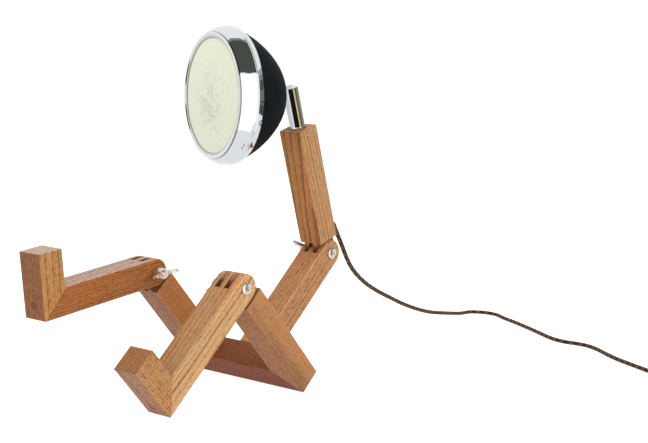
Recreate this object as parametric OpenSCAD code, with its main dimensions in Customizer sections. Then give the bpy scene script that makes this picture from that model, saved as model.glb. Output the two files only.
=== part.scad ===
/* [Beams] */
// Width of every wooden beam, across the comb joint
beam_w = 32; // [30:0.5:34]
// Depth of every wooden beam
beam_d = 30; // [28:0.5:32]
// Radius of the eased arrises
edge_r = 1.4; // [0.8:0.1:2]

/* [Frame] */
// Width over both legs
frame_w = 164; // [156:1:184]
// Lean of the thighs above the floor, in degrees
lean = 44.5; // [43:0.5:47]
// Underside of the crossbar to the knee axis
thigh_l = 159; // [150:1:165]
// Crossbar axis to the waist axis, along the spine
spine_l = 166.5; // [160:0.5:172]

/* [Legs] */
// Knee axis to the sole
shin_l = 157; // [153:1:160]
// Foot, heel corner to toe
foot_l = 70.5; // [60:0.5:75]
// Slope of the right shin below the horizontal, in degrees
right_drop = 10; // [5:0.5:14]

/* [Neck] */
// Waist axis to the top of the neck beam
neck_l = 155.5; // [148:0.5:158]
// Forward lean of the neck beam, in degrees
neck_lean = 21; // [16:0.5:24]
// Height of the exit for the mains cord above the waist axis
exit_h = 38; // [36:1:44]

/* [Comb joints] */
// Gap between two fingers
finger_gap = 0.3; // [0.2:0.05:0.5]
// Pivot bolt diameter
bolt_d = 8; // [6:0.5:8]
// Diameter of the domed bolt heads
head_d = 14; // [14:0.5:16]
// Knee or waist axis to the shoulder of the inner fingers
shoulder = 17; // [17:0.5:18]
// Radius that is cleared in the slots around the pivot
slot_r = 20.7; // [20:0.1:22]

/* [Post] */
// Diameter of the chromed post
post_d = 18; // [17:0.5:18]
// Height of the post above the neck beam
post_h = 49; // [49:0.5:56]
// Turn of the post towards the right leg, in degrees
head_yaw = 21; // [0:0.5:30]

/* [Head] */
// Tilt of the head above the square position, in degrees
head_tilt = 16.9; // [0:0.05:20]
// Diameter of the swivel ball
ball_d = 16; // [15:0.5:16]
// Post axis to the centre of the swivel ball
ball_reach = 23.3; // [23:0.1:25]
// Height of the swivel ball above the neck beam
ball_h = 45.5; // [45:0.1:48]
// Thickness of the spun shell
shell_t = 1.2; // [0.8:0.1:1.4]

/* [Mains lead] */
// Diameter of the braided cord
cord_d = 5.5; // [5:0.1:6]
// Radius of the put-away coil, at the middle of its turns
coil_r = 30; // [28:0.5:32]

/* [Hidden] */
$fn = 96;

hw = beam_w / 2;
hd = beam_d / 2;
half = frame_w / 2;
strip = beam_w / 5;
g2 = finger_gap / 2;
bolt_r = bolt_d / 2;
post_r = post_d / 2;
ball_r = ball_d / 2;
cord_r = cord_d / 2;
run = 0.08;                 // radial play of a turning pivot

// Sideways and fore-and-aft place of the crossbar's corner in the part's frame
org = [8.46, 77.28, 0];

// Height of the crossbar axis, so that its rounded lower arris is on the floor
base_z = (hd - edge_r) * cos(lean) - edge_r * sin(lean) + edge_r;
knee = org + [0, -thigh_l * cos(lean), base_z + thigh_l * sin(lean)];
waist = org + [0, -hw * cos(lean) + spine_l * sin(lean), base_z + hw * sin(lean) + spine_l * cos(lean)];
// Slope of the left shin, so that its rounded heel is on the floor
left_drop = asin((knee[2] - edge_r) / norm([shin_l - edge_r, hd - edge_r])) - atan((hd - edge_r) / (shin_l - edge_r));
// Face of the head along its axis, from the ball centre
face = 75.86;

wood = [0.66, 0.45, 0.29];
wood_dark = [0.45, 0.27, 0.17];
chrome = [0.82, 0.83, 0.85];
steel = [0.62, 0.63, 0.65];
shell_colour = [0.14, 0.16, 0.19];

// ---------- outlines ----------
function arc(c, r, a0, a1, n = 6) = [for (i = [0:n]) c + r * [cos(a0 + (a1 - a0) * i / n), sin(a0 + (a1 - a0) * i / n)]];
function eased(x0, y0, x1, y1, r = edge_r) = concat(
    arc([x1 - r, y0 + r], r, -90, 0), arc([x1 - r, y1 - r], r, 0, 90),
    arc([x0 + r, y1 - r], r, 90, 180), arc([x0 + r, y0 + r], r, 180, 270));

// Outline in x and y, extruded along z
module along_z(z0, z1) translate([0, 0, z0]) linear_extrude(z1 - z0) children();
// Outline in y and z, extruded along x
module along_x(x0, x1) translate([x0, 0, 0]) rotate([90, 0, 90]) linear_extrude(x1 - x0) children();
// Outline in x and z, extruded along y
module along_y(y0, y1) translate([0, y1, 0]) rotate([90, 0, 0]) linear_extrude(y1 - y0) children();
module rod_x(r, x0, x1) translate([x0, 0, 0]) rotate([0, 90, 0]) cylinder(r = r, h = x1 - x0);

// ---------- places of the pieces ----------
module in_frame() translate(org + [0, 0, base_z]) rotate([90 - lean, 0, 0]) children();   // y across the thighs, z up them
module in_spine() translate(waist) rotate([-lean, 0, 0]) children();                      // z up the spine, waist axis at 0
module in_neck() translate(waist) rotate([neck_lean, 0, 0]) children();                   // z up the neck, waist axis at 0
module in_shin(side) translate(knee + [side * (half - hw), 0, 0])
    rotate([90 + (side > 0 ? left_drop : right_drop), 0, 0]) children();                  // z down the shin, y to the toe
module in_post() in_neck() translate([0, 0, neck_l]) rotate([0, 0, -head_yaw]) children(); // z up the post, -y forward
module in_ball() in_post() translate([0, -ball_reach, ball_h]) children();
module in_head() in_ball() rotate([90 - head_tilt, 0, 0]) children();                     // z along the head's axis, y up

// ---------- comb-jointed beams ----------
// Rounded end of a beam about the pivot axis, z below 0
module round_end() rotate([0, 90, 0]) rotate([0, 0, -90]) rotate_extrude(angle = 180)
    polygon(concat([[0, -hw]], arc([hd - edge_r, -hw + edge_r], edge_r, -90, 0), arc([hd - edge_r, hw - edge_r], edge_r, 0, 90), [[0, hw]]));

// Beam from the pivot at 0 to z1
module pivot_bar(z1) union() {
    round_end();
    along_z(0, z1) polygon(eased(-hw, -hd, hw, hd));
}

// Slots in the three-fingered end, for the two inner fingers
module slots_for_two(deep_side) for (k = [1, 3])
    along_x(-hw + strip * k - g2, -hw + strip * (k + 1) + g2) union() {
        circle(r = slot_r);
        translate([-hd - 4, -hd - 6]) square([beam_d + 8, hd + 6]);
        if (deep_side != 0) translate([deep_side > 0 ? 0 : -hd - 4, -2]) square([hd + 4, 22]);
    }

// Cuts that leave two fingers: everything but strips 1 and 3, nearer than the shoulder
module cuts_for_three() for (k = [0, 2, 4])
    along_x(-hw + strip * k - (k == 0 ? 2 : g2), -hw + strip * (k + 1) + (k == 4 ? 2 : g2))
        translate([-hd - 4, -hd - 6]) square([beam_d + 8, hd + 6 + shoulder]);

module thigh(side) color(wood) in_frame() intersection() {
    difference() {
        translate([side * (half - hw), 0, thigh_l]) mirror([0, 0, 1]) difference() {
            pivot_bar(thigh_l);
            cuts_for_three();
            rod_x(bolt_r + run, -hw - 1, hw + 1);
        }
        // mitre against the crossbar
        along_y(-hd - 1, hd + 1) polygon([[side * (half + 2), -2], [side * (half - beam_w - 10), beam_w + 10], [side * (half - beam_w - 10), -2]]);
        // hole for the frame screw
        translate([side * (half - hw), 0, -1]) cylinder(r = 2.2, h = 57);
    }
    along_y(-hd - 1, hd + 1) polygon(eased(-half, 0, half, thigh_l + beam_w));
}

module crossbar() color(wood_dark) in_frame() difference() {
    intersection() {
        along_x(-half, half) polygon(eased(-hd, 0, hd, beam_w));
        along_y(-hd - 1, hd + 1) polygon(eased(-half, 0, half, thigh_l));
    }
    for (side = [-1, 1]) {
        along_y(-hd - 1, hd + 1) polygon([[side * half, 0], [side * (half - beam_w - 5), beam_w + 5], [side * (half + 9), beam_w + 5], [side * (half + 9), 0]]);
        // counterbore and hole for the frame screw
        translate([side * (half - hw), 0, -1]) cylinder(r = 4.75, h = 11);
        translate([side * (half - hw), 0, 0]) cylinder(r = 2.2, h = 40);
        // dowel holes under the spine
        translate([side * 8, hd - 20, hw]) rotate([-90, 0, 0]) cylinder(r = 4, h = 21);
    }
}

module spine() color(wood) in_spine() difference() {
    mirror([0, 0, 1]) difference() {
        pivot_bar(spine_l - hd);
        slots_for_two(0);
        rod_x(bolt_r, -hw - 1, hw + 1);
    }
    for (x = [-8, 8]) translate([x, 0, -(spine_l - hd) - 1]) cylinder(r = 4, h = 21);
}

module spine_dowels() color([0.8, 0.68, 0.48]) in_spine()
    for (x = [-8, 8]) translate([x, 0, -(spine_l - hd) - 19.5]) union() {
        cylinder(r1 = 3.2, r2 = 4, h = 1);
        translate([0, 0, 1]) cylinder(r = 4, h = 37);
        translate([0, 0, 38]) cylinder(r1 = 4, r2 = 3.2, h = 1);
    }

// Countersunk screw, head's top at 0, pointing along +z
module long_screw(l) union() {
    difference() {
        cylinder(r = 4.2, h = 1.2);
        translate([0, 0, -0.5]) cylinder(r = 1.8, h = 1.5, $fn = 6);
    }
    translate([0, 0, 1.2]) cylinder(r1 = 4.2, r2 = 2.2, h = 2.2);
    translate([0, 0, 3.4]) cylinder(r = 2.2, h = l - 6.4);
    translate([0, 0, l - 3]) cylinder(r1 = 2.2, r2 = 0.6, h = 3);
}

module frame_screws() color(steel) in_frame() for (side = [-1, 1]) translate([side * (half - hw), 0, 6.5]) long_screw(48);
module frame_plugs() color(wood_dark) in_frame() for (side = [-1, 1]) translate([side * (half - hw), 0, 0]) cylinder(r = 4.75, h = 6);

module shin(side) color(wood) in_shin(side) difference() {
    intersection() {
        difference() {
            pivot_bar(shin_l);
            slots_for_two(-1);
            rod_x(bolt_r, -hw - 1, hw + 1);
        }
        along_x(-hw - 1, hw + 1) polygon(eased(-hd, -hd - 5, hd + 20, shin_l));
    }
    // mitre against the foot
    along_x(-hw - 1, hw + 1) polygon([[-hd, shin_l], [hd + 5, shin_l - beam_d - 5], [hd + 5, shin_l + 2], [-hd, shin_l + 2]]);
    translate([0, 0, shin_l - 57]) cylinder(r = 2.2, h = 60);
}

module foot(side) color(wood_dark) in_shin(side) difference() {
    intersection() {
        along_y(-hd, foot_l - hd) polygon(eased(-hw, shin_l - beam_d, hw, shin_l));
        along_x(-hw, hw) polygon(eased(-hd, shin_l - beam_d, foot_l - hd, shin_l));
        along_z(shin_l - beam_d, shin_l) polygon(eased(-hw, -hd - 5, hw, foot_l - hd));
    }
    along_x(-hw - 1, hw + 1) polygon([[-hd, shin_l], [hd + 5, shin_l - beam_d - 5], [-hd - 3, shin_l - beam_d - 5], [-hd - 3, shin_l]]);
    translate([0, 0, shin_l - 10]) cylinder(r = 4.75, h = 11);
    translate([0, 0, shin_l - 40]) cylinder(r = 2.2, h = 31);
}

module foot_screw(side) color(steel) in_shin(side) translate([0, 0, shin_l - 6.5]) mirror([0, 0, 1]) long_screw(48);
module foot_plug(side) color([0.32, 0.19, 0.12]) in_shin(side) translate([0, 0, shin_l - 6.2]) cylinder(r = 4.75, h = 6);

// ---------- pivot hardware, bolt head on +x ----------
dome_h = 3.2;
module pivot_bolt() union() {
    difference() {
        translate([hw, 0, 0]) rotate([0, 90, 0]) rotate_extrude()
            polygon(concat([[0, 0], [head_d / 2 - 0.5, 0], [head_d / 2, 0.5], [head_d / 2, 1.1]],
                [for (i = [1:12]) let (t = i / 12 * 90) [(head_d / 2) * cos(t), 1.1 + (dome_h - 1.1) * sin(t)]]));
        rod_x(2.3, hw + dome_h - 2, hw + dome_h + 1, $fn = 6);
    }
    rod_x(bolt_r, -hw - 14, hw);
    translate([-hw - 14, 0, 0]) rotate([0, -90, 0]) cylinder(r1 = bolt_r, r2 = bolt_r - 0.8, h = 0.8);
}
module washer() difference() {
    rod_x(6.6, -hw - 1.5, -hw);
    rod_x(bolt_r + 0.2, -hw - 2, -hw + 1);
}
// Wing nut, seat at x = 0, opening towards -x, wings along y
module wing_nut() difference() {
    union() {
        rotate([0, -90, 0]) cylinder(r1 = 6.9, r2 = 5.7, h = 10.5);
        for (s = [0, 180]) rotate([s, 0, 0]) translate([0, 0, -1.7]) linear_extrude(3.4)
            polygon(concat([[-1, 5.2], [-0.7, 8.6]], [[-3, 10.6], [-6.5, 14]],
                arc([-15.2, 16], 4.2, 52, -100, 10),
                [[-12.5, 9.8], [-10, 7.2], [-9.6, 5.2]]));
    }
    rod_x(bolt_r + run, -22, 2);
}

module at_knee(side) translate(knee + [side * (half - hw), 0, 0]) mirror([side > 0 ? 0 : 1, 0, 0]) children();
module knee_bolt(side) color(chrome) at_knee(side) pivot_bolt();
module knee_washer(side) color(chrome) at_knee(side) washer();
module knee_nut(side, turn) color(chrome) at_knee(side) translate([-hw - 1.5, 0, 0]) rotate([turn, 0, 0]) wing_nut();
module waist_bolt() color(chrome) translate(waist) pivot_bolt();
module waist_washer() color(chrome) translate(waist) washer();
module waist_wing_nut() color(chrome) translate(waist) translate([-hw - 1.5, 0, 0]) rotate([150, 0, 0]) wing_nut();

// ---------- neck ----------
bush_l = 25;
module neck_beam() color(wood) in_neck() difference() {
    intersection() {
        difference() {
            pivot_bar(neck_l);
            cuts_for_three();
            rod_x(bolt_r + run, -hw - 1, hw + 1);
        }
        along_x(-hw - 1, hw + 1) polygon(eased(-hd, -hd - 5, hd, neck_l));
        along_y(-hd - 1, hd + 1) polygon(eased(-hw, -hd - 5, hw, neck_l));
    }
    // seat of the bush, room for the post's end, way for the cord
    translate([0, 0, neck_l - bush_l - 8]) cylinder(r = 10, h = bush_l + 9);
    translate([0, 0, exit_h + hd]) cylinder(r = 4.6, h = neck_l - exit_h - hd - bush_l);
    translate([0, hd, exit_h]) rotate([-135, 0, 0]) translate([0, 0, -30]) cylinder(r = 4.2, h = 51.2);
    translate([0, 0, exit_h + hd]) sphere(r = 4.6);
}

module post_bush() color([0.86, 0.86, 0.87]) in_neck() difference() {
    rotate_extrude() polygon(concat([[0, neck_l - bush_l], [10, neck_l - bush_l], [10, neck_l - 0.8], [9.65, neck_l - 0.8], [9.65, neck_l + 0.9]],
        arc([9.35, neck_l + 0.9], 0.3, 0, 90, 4), [[0, neck_l + 1.2]]));
    translate([0, 0, neck_l - bush_l - 1]) cylinder(r = post_r + 0.05, h = bush_l + 6);
}

// Exit frame: z out of the neck's back, downwards at 45 degrees
module in_exit() in_neck() translate([0, hd, exit_h]) rotate([-135, 0, 0]) children();
grip_out = 12;
module cord_grip() color([0.2, 0.13, 0.07]) in_exit() difference() {
    union() {
        translate([0, 0, -14]) cylinder(r = 4.2, h = 15);
        translate([0, 0, 1]) cylinder(r1 = 4.2, r2 = cord_r + 0.4, h = grip_out - 1);
    }
    translate([0, 0, -15]) cylinder(r = cord_r, h = grip_out + 16);
}

// Cord inside the neck, from the end of the grip to the middle of the post
module inner_cord() color([0.5, 0.36, 0.18]) union() {
    in_exit() translate([0, 0, -hd * sqrt(2)]) cylinder(r = cord_r, h = hd * sqrt(2) + grip_out - 0.5);
    in_neck() translate([0, 0, exit_h + hd]) sphere(r = cord_r + 0.2);
    in_neck() translate([0, 0, exit_h + hd]) cylinder(r = cord_r, h = neck_l - exit_h - hd - 6);
}

// ---------- post ----------
module post() color(chrome) in_post() difference() {
    translate([0, 0, -bush_l - 5]) cylinder(r = post_r, h = bush_l + 5 + post_h - 2);
    translate([0, 0, -bush_l - 6]) cylinder(r = 5.5, h = bush_l + 8 + post_h);
    // groove of the retaining ring
    translate([0, 0, -bush_l - 2.2]) difference() {
        cylinder(r = post_r + 1, h = 1.4);
        translate([0, 0, -1]) cylinder(r = post_r - 0.8, h = 4);
    }
    // tapped hole of the ball stud
    translate([0, 0, ball_h]) rotate([90, 0, 0]) cylinder(r = 2.6, h = post_r + 2);
}
module post_cap() color(chrome) in_post() difference() {
    union() {
        translate([0, 0, post_h - 2]) rotate_extrude()
            polygon(concat([[0, 0], [post_r, 0]], arc([post_r - 1.4, 0.6], 1.4, 0, 90, 6), [[0, 2]]));
        translate([0, 0, post_h - 5]) cylinder(r = 5.5, h = 3);
    }
    translate([0, 0, post_h - 6]) cylinder(r = 4.4, h = 4);
    translate([0, 0, ball_h]) rotate([90, 0, 0]) cylinder(r = 2.8, h = post_r + 2);
}
module retaining_ring() color(steel) in_post() translate([0, 0, -bush_l - 2.2]) difference() {
    cylinder(r = 9.8, h = 1.4);
    translate([0, 0, -1]) cylinder(r = post_r - 0.8, h = 4);
    translate([-2, 0, -1]) cube([4, 12, 4]);
}
// Hollow stud with its ball, screwed into the front of the post
module ball_stud() color(chrome) in_post() difference() {
    union() {
        translate([0, -5.8, ball_h]) rotate([90, 0, 0]) cylinder(r = 2.6, h = ball_reach - 6);
        translate([0, -ball_reach, ball_h]) sphere(r = ball_r);
        difference() {
            translate([0, -7, ball_h]) rotate([90, 0, 0]) cylinder(r = 3.4, h = 4.8);
            translate([0, 0, ball_h - 6]) cylinder(r = post_r, h = 12);
        }
    }
    translate([0, -5, ball_h]) rotate([90, 0, 0]) cylinder(r = 1.9, h = ball_reach + 8);
    translate([0, -ball_reach - 2.6, ball_h]) rotate([79, 0, 0]) cylinder(r1 = 1.9, r2 = 6.6, h = 7.4);
}
module wire(pts, r) union() for (i = [0:len(pts) - 2]) {
    d = pts[i + 1] - pts[i];
    translate(pts[i]) rotate([0, acos(d[2] / norm(d)), atan2(d[1], d[0])]) cylinder(r = r, h = norm(d), $fn = 24);
    if (i > 0) translate(pts[i]) sphere(r = r, $fn = 24);
}
module post_leads() color([0.75, 0.55, 0.2]) in_post() for (x = [-0.85, 0.85]) union() {
    translate([x, 0, -4.5]) cylinder(r = 0.75, h = ball_h + 4.5, $fn = 24);
    translate([x, 0, ball_h]) sphere(r = 0.75, $fn = 24);
    translate([x, 0, ball_h]) rotate([90, 0, 0]) cylinder(r = 0.75, h = ball_reach + 1, $fn = 24);
}

// ---------- head ----------
// Outer profile of the spun shell: [distance along the axis, radius]
shell_line = [[-6.35, 10.6], [-6.1, 12.4], [-5.2, 17.3], [-3.2, 24.3], [-1.2, 29.5], [0.8, 33.6], [3.3, 37.5], [5.8, 40.8],
    [8.8, 44.3], [11.8, 47.5], [15.3, 50.9], [18.8, 54.1], [22.8, 57.4], [26.8, 60.4], [30.8, 63.2], [34.8, 65.7],
    [38.8, 68], [42.8, 70.2], [46.8, 72.3], [51, 74.3]];
shell_hole = shell_line[0][1];
module head_shell() color(shell_colour) in_head() rotate_extrude() polygon(concat(
    [for (p = shell_line) [p[1], p[0]]],
    [[74.3, 55.5], [74.3 - shell_t, 55.5]],
    [for (i = [len(shell_line) - 1:-1:0]) let (p = shell_line[i], a = shell_line[max(i - 1, 0)], b = shell_line[min(i + 1, len(shell_line) - 1)],
        t = (b - a) / norm(b - a)) i == 0 ? [shell_hole, p[0] + shell_t * 1.03] : [p[1] - shell_t * t[0], p[0] + shell_t * t[1]]]));

module rim_band() color(chrome) in_head() rotate_extrude() polygon(concat(
    [[68.8, face - 0.6], [70.2, face - 0.7], [71.4, face - 2.2], [73.2, face - 4.6], [74.8, face - 7.6], [75.8, face - 10.4], [76.2, face - 13.6], [76.2, face - 16.6],
     [75.9, face - 17], [75.7, face - 17.3], [76.2, face - 17.6], [76.65, face - 18], [76.8, face - 18.6], [76.4, face - 20.6], [75.9, face - 22.6], [75.4, face - 24.3],
     [75, face - 24.8], [74.35, face - 24.8], [74.35, face - 20], [74.35, face - 15.5], [74, face - 10.6], [72.8, face - 7.4], [71.2, face - 5], [69.4, face - 3.2], [68.8, face - 2.6]]));

module bezel_ring() color(chrome) in_head() rotate_extrude() polygon(concat(
    [[63.9, face - 0.1], [63.75, face + 0.3], [64.2, face + 0.6], [65.6, face + 0.8], [67.2, face + 1.15], [68.3, face + 1.35],
     [69.2, face + 1.1], [69.9, face + 0.4], [70.2, face - 0.65], [68.75, face - 0.55], [67.4, face - 0.1], [66.9, face - 1.2], [66.9, face - 3.4], [66.4, face - 3.4], [66.4, face - 0.1]]));

lens_rise = 4;
lens_R = (63.9 * 63.9 + lens_rise * lens_rise) / (2 * lens_rise);
module lens() color([0.93, 0.92, 0.78]) in_head() rotate_extrude() polygon(concat(
    [[0, face - 3.2], [66.3, face - 3.2], [66.3, face - 0.4]],
    [for (i = [0:16]) let (r = 66 * (1 - i / 16)) [r, face - 0.25 + lens_rise - lens_R + sqrt(lens_R * lens_R - r * r)]]));
module lens_gasket() color([0.12, 0.12, 0.12]) in_head() difference() {
    translate([0, 0, face - 4.5]) cylinder(r = 66.3, h = 1.3);
    translate([0, 0, face - 5]) cylinder(r = 62.6, h = 3);
}
refl_z = 46;
module reflector() color([0.85, 0.86, 0.88]) in_head() difference() {
    rotate_extrude() polygon(concat(
        [for (i = [0:14]) let (r = 20 + 43 * i / 14) [r, refl_z + (r * r - 400) / 147]],
        [[70.5, refl_z + (63 * 63 - 400) / 147], [70.5, refl_z + (63 * 63 - 400) / 147 + 0.8]],
        [for (i = [14:-1:0]) let (r = 20 + 43 * i / 14) [r - (i == 0 ? 0 : 0.6), refl_z + 1 + (r * r - 400) / 147]]));
    // room for the heads of the board screws
    for (a = [30:120:270]) rotate([0, 0, a]) translate([21.8, 0, refl_z - 1]) cylinder(r = 2.7, h = 4);
}
module led_board() color([0.9, 0.9, 0.86]) in_head() difference() {
    translate([0, 0, refl_z - 1.7]) cylinder(r = 24, h = 1.6);
    for (a = [30:120:270]) rotate([0, 0, a]) translate([21.8, 0, refl_z - 3]) cylinder(r = 1.5, h = 4);
    for (x = [-1, 1]) translate([x * 6, -18, refl_z - 3]) cylinder(r = 1.1, h = 4);
}
module led_chips() color([0.95, 0.85, 0.3]) in_head() for (a = [0:45:315]) rotate([0, 0, a])
    translate([10.5 - 1.75, -1.75, refl_z - 0.1]) cube([3.5, 3.5, 0.9]);
module heat_sink() color([0.55, 0.56, 0.58]) in_head() difference() {
    union() {
        translate([0, 0, refl_z - 5.7]) cylinder(r = 26, h = 4);
        for (k = [-4:4]) translate([k * 5.4 - 0.8, -sqrt(25 * 25 - k * k * 29.16), refl_z - 17.7]) cube([1.6, 2 * sqrt(25 * 25 - k * k * 29.16), 12.2]);
    }
    for (a = [30:120:270]) rotate([0, 0, a]) translate([21.8, 0, refl_z - 7]) cylinder(r = 1.5, h = 7);
    for (x = [-1, 1]) translate([x * 6, -18, refl_z - 19]) cylinder(r = 1.1, h = 20);
}
// Three screws clamp the board to the heat sink
module head_screws() color(steel) in_head() for (a = [30:120:270]) rotate([0, 0, a]) translate([21.8, 0, refl_z - 5.7]) union() {
    cylinder(r = 1.5, h = 5.6);
    translate([0, 0, 5.6]) difference() {
        cylinder(r = 2.3, h = 1.1);
        translate([0, 0, 0.5]) cylinder(r = 1.1, h = 1, $fn = 6);
    }
}
module led_driver() color([0.92, 0.92, 0.9]) in_head() difference() {
    along_z(refl_z - 33.7, refl_z - 17.7) polygon(eased(-22, -14, 22, 14, 2));
    for (x = [-1, 1]) translate([x * 6, -18, refl_z - 36]) cylinder(r = 1.3, h = 20);
}
module head_leads() color([0.75, 0.2, 0.15]) in_head() union() {
    for (x = [-1, 1]) {
        wire([[x * 0.85, 0, 6.6], [x * 0.85, 0, refl_z - 33.7]], 0.65);
        wire([[x * 6, -15.5, refl_z - 27], [x * 6, -18, refl_z - 24], [x * 6, -18, refl_z - 0.1]], 0.7);
        wire([[x * 6, -14, refl_z - 27], [x * 6, -15.5, refl_z - 27]], 0.7);
    }
}

// ---------- ball swivel ----------
module socket_body() color(steel) in_head() rotate_extrude() polygon([[10.45, -5], [18.2, -3.5], [18.2, -2.3], [13, -1], [13, 9.4], [4, 9.4], [4, 8], [10.45, 8]]);
module socket_cap() color(chrome) in_head() rotate_extrude() polygon(concat(
    [[10.4, -0.3], [10.4, -6.6], [8.9, -7.1], [7.6, -4.2]],
    [for (i = [0:6]) let (t = -24 + i * 3.66) [(ball_r + 0.06) * cos(t), (ball_r + 0.06) * sin(t)]]));
module ball_seat() color([0.93, 0.93, 0.9]) in_head() difference() {
    translate([0, 0, 0.3]) cylinder(r = 10.4, h = 6.7);
    sphere(r = ball_r + 0.06);
}
module spring_washer() color(steel) in_head() difference() {
    translate([0, 0, 7]) cylinder(r = 10.2, h = 1);
    translate([0, 0, 6]) cylinder(r = 5.4, h = 3);
}

// ---------- mains lead ----------
down = [0, cos(45 - neck_lean), -sin(45 - neck_lean)];
grip_tip = waist + [0, -sin(neck_lean) * exit_h + cos(neck_lean) * hd, cos(neck_lean) * exit_h + sin(neck_lean) * hd] + grip_out * down;
cz = cord_r;
// Route of the cord from the crossbar's corner: behind the lamp in the air, then over the table
free = [[-4, 137, 162], [-8, 151, 149], [-17, 178, 125], [-25, 203, 108], [-33, 236, 91], [-44, 277, 76], [-57, 325, 61.5],
    [-71, 374, 47.5], [-86, 430, 33.5], [-101, 487, 22], [-117, 546, 13.5], [-131, 595, 7], [-139, 625, 3.6]];
table = [[-142.5, 639], [-142.5, 653], [-135.5, 665], [-123.5, 672], [-109.5, 672], [-97, 665.5], [-80, 652.5], [-47, 631.5], [-14, 609], [18, 586],
    [46, 565], [68, 551], [88, 545.5], [107, 548], [125, 545], [146, 532], [174, 508], [200, 488], [230, 469], [261, 450], [285, 434], [302, 419]];
switch_c = [336, 378];
switch_a = -53;
after = [[366, 339], [378, 329], [394, 323.5], [410, 323.3]];
coil_c = [412, 356];
to_plug = [[444.5, 350], [445.5, 366], [446, 382]];
plug_y = 394;
sw_z = 6;
plug_z = 6.8;
function cat(p0, p1, p2, p3, t) = 0.5 * (2 * p1 + (p2 - p0) * t + (2 * p0 - 5 * p1 + 4 * p2 - p3) * t * t + (3 * p1 - p0 - 3 * p2 + p3) * t * t * t);
function smooth(p, k) = concat([for (i = [0:len(p) - 2], j = [0:k - 1]) cat(p[max(i - 1, 0)], p[i], p[i + 1], p[min(i + 2, len(p) - 1)], j / k)], [p[len(p) - 1]]);
function flat(p, z = cz) = [for (q = p) org + [q[0], q[1], z]];
sw_dir = [cos(switch_a), sin(switch_a), 0];
sw_in = org + [switch_c[0], switch_c[1], sw_z] - 31 * sw_dir;
sw_out = org + [switch_c[0], switch_c[1], sw_z] + 31 * sw_dir;
lead_1 = smooth(concat([grip_tip, grip_tip + 9 * down], [for (q = free) org + q], flat(table), [sw_in - 9 * sw_dir - [0, 0, 0.6], sw_in]), 2);
lead_2 = smooth(concat([sw_out, sw_out + 8 * sw_dir - [0, 0, 0.8]], flat(after)), 2);
lead_3 = smooth([org + [444.5, 350, 7.6], org + [445.6, 366, 4.2], org + [446, 382, 5.4], org + [446, plug_y, plug_z]], 2);
into_coil = [lead_2[len(lead_2) - 5], lead_2[len(lead_2) - 4], lead_2[len(lead_2) - 3], lead_2[len(lead_2) - 2], lead_2[len(lead_2) - 1] + [1, 0, 0]];
out_of_coil = [lead_3[0] - [0, 1, 0], lead_3[1], lead_3[2], lead_3[3]];

function unit(v) = v / norm(v);
function tangent(p, i) = unit(p[min(i + 1, len(p) - 1)] - p[max(i - 1, 0)]);
function ring_at(p, i, r, n) = let (t = tangent(p, i), s = unit(cross([0, 0, 1], t)), u = cross(t, s))
    [for (k = [0:n - 1]) p[i] + r * (cos(360 * k / n) * s + sin(360 * k / n) * u)];
module tube(p, r, n) {
    m = len(p);
    polyhedron(points = [for (i = [0:m - 1]) each ring_at(p, i, r, n)],
        faces = concat([[for (k = [0:n - 1]) k]], [for (i = [0:m - 2], k = [0:n - 1]) [i * n + k, (i + 1) * n + k, (i + 1) * n + (k + 1) % n, i * n + (k + 1) % n]],
            [[for (k = [n - 1:-1:0]) (m - 1) * n + k]]));
}
module mains_cord() color([0.52, 0.38, 0.2]) union() {
    tube(lead_1, cord_r, 8);
    tube(lead_2, cord_r, 8);
    tube(lead_3, cord_r, 8);
}

// Four turns, two side by side and two above them
module in_coil() translate(org + [coil_c[0], coil_c[1], 0]) children();
module cord_coil() color([0.52, 0.38, 0.2]) difference() {
    in_coil() rotate_extrude() polygon(eased(coil_r - cord_d, 0, coil_r + cord_d, 2 * cord_d, 2.5));
    // where the leads run into the coil
    tube(into_coil, cord_r + 0.3, 8);
    tube(out_of_coil, cord_r + 0.3, 8);
}
// Strap around the bundle of turns, closed on itself
module coil_tie() color([0.1, 0.1, 0.1]) in_coil() rotate([0, 0, 150]) difference() {
    translate([coil_r, 0, 0]) along_y(-6, 6) polygon(eased(-cord_d - 1, 0, cord_d + 1, 2 * cord_d + 1, 2.8));
    rotate_extrude() polygon(concat([[coil_r - cord_d, -1]], arc([coil_r + cord_d - 2.5, 2 * cord_d - 2.5], 2.5, 0, 90), arc([coil_r - cord_d + 2.5, 2 * cord_d - 2.5], 2.5, 90, 180),
        [[coil_r - cord_d, -1]], [[coil_r + cord_d, -1]]));
}

// Switch frame: x along the cord, bottom on the table
module in_switch() translate(org + [switch_c[0], switch_c[1], 0]) rotate([0, 0, switch_a]) children();
sw_split = 7.2;
sw_top = 14.4;
rock_z = 11.4;              // rocker's axis
module switch_block(z0, z1) intersection() {
    along_z(z0, z1) polygon(concat(arc([20, 2], 11, 0, 90), arc([-20, 2], 11, 90, 180), arc([-20, -2], 11, 180, 270), arc([20, -2], 11, 270, 360)));
    along_x(-31, 31) polygon(eased(-13, 0, 13, sw_top, 3));
    along_y(-13, 13) polygon(eased(-31, 0, 31, sw_top, 3));
}
module cord_way() rod_x(cord_r, -32, 32);
module switch_base() color([0.12, 0.11, 0.1]) in_switch() difference() {
    switch_block(0, sw_split);
    along_z(1.8, sw_split + 1) polygon(eased(-21, -9.5, 21, 9.5, 3));
    translate([0, 0, sw_z]) cord_way();
    for (s = [-1, 1]) translate([s * 25, 7 * s, -1]) cylinder(r = 1.3, h = 9);
}
module switch_cover() color([0.12, 0.11, 0.1]) in_switch() difference() {
    switch_block(sw_split, sw_top);
    along_z(sw_split - 1, sw_top - 1.8) polygon(eased(-21, -9.5, 21, 9.5, 3));
    translate([0, 0, sw_z]) cord_way();
    along_z(sw_split, sw_top + 1) polygon(eased(-10.6, -5.8, 10.6, 5.8, 1));
    // bearings of the rocker
    translate([0, -8.5, rock_z]) rotate([-90, 0, 0]) cylinder(r = 1.3, h = 17);
}
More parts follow.
